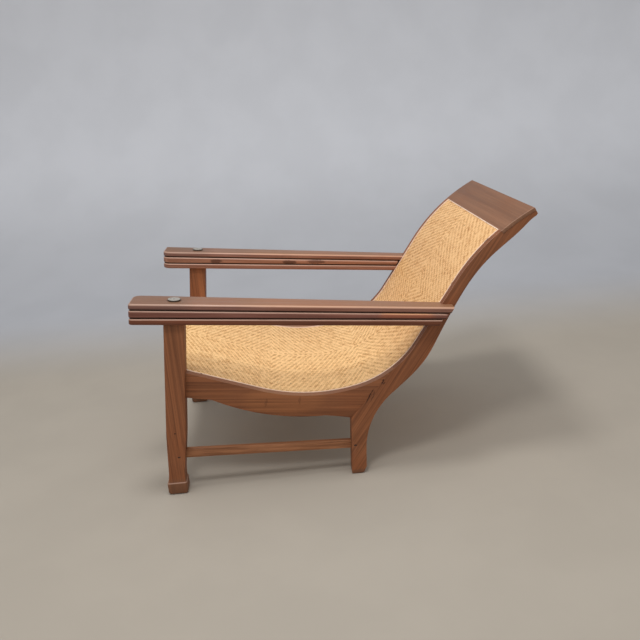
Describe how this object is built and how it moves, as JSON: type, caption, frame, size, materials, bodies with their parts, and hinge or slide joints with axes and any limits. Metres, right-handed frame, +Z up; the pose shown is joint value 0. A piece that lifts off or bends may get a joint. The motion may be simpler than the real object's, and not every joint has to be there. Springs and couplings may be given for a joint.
{
  "type": "planters chair",
  "caption": "Low reclining wooden armchair with a woven sling seat, swept rear legs and long arms whose middle layers swing out as leg rests.",
  "frame": {"origin": "on the floor under the middle of the chair's footprint", "axes": "+Y towards the back of the chair (the sitter faces -Y), +X towards the sitter's left, +Z up"},
  "size_m": [0.7476, 1.1336, 0.7559],
  "materials": {
    "outer_wood": "old reddish-brown hardwood, oiled, worn pale on the arrises",
    "arm_wood": "old brown hardwood, rubbed lighter and pinkish on top and along the edges",
    "panel_wood": "paler brown hardwood plank, satin",
    "stretcher_wood": "orange-brown hardwood, worn light on top",
    "peg_wood": "dark end grain",
    "screw_steel": "dull worn steel",
    "woven_cane": "flat golden-tan cane strands woven in nested diamonds",
    "cane_bead": "pale cane strip"
  },
  "bodies": {
    "frame": {"front_post_left": "outer_wood", "front_post_right": "outer_wood", "stile_left": "outer_wood", "stile_right": "outer_wood", "side_rail_left": "outer_wood", "side_rail_right": "outer_wood", "side_stretcher_left": "stretcher_wood", "side_stretcher_right": "stretcher_wood", "front_seat_rail": "outer_wood", "back_cross_rail": "outer_wood", "head_panel": "panel_wood", "arm_board_left": "arm_wood", "arm_board_right": "arm_wood", "arm_under_rail_left": "arm_wood", "arm_under_rail_right": "arm_wood", "pivot_screw_left": "screw_steel", "pivot_screw_right": "screw_steel", "pivot_washers_left": "screw_steel", "pivot_washers_right": "screw_steel", "woven_mat": "woven_cane", "mat_bead_left": "cane_bead", "mat_bead_right": "cane_bead", "mat_bead_top": "cane_bead", "mat_bead_front": "cane_bead", "stretcher_pegs": "peg_wood"},
    "leg_rest_left": {"leg_rest_left": "arm_wood"},
    "leg_rest_right": {"leg_rest_right": "arm_wood"}
  },
  "joints": [
    {"name": "leg_rest_left_swing", "type": "hinge", "parent": "frame", "child": "leg_rest_left", "pos_m": [0.33, -0.44337, 0.583], "axis": [0, -0.1052, -0.9944], "range_deg": [0, 180]},
    {"name": "leg_rest_right_swing", "type": "hinge", "parent": "frame", "child": "leg_rest_right", "pos_m": [-0.33, -0.44337, 0.583], "axis": [0, 0.1052, 0.9944], "range_deg": [0, 180]}
  ]
}
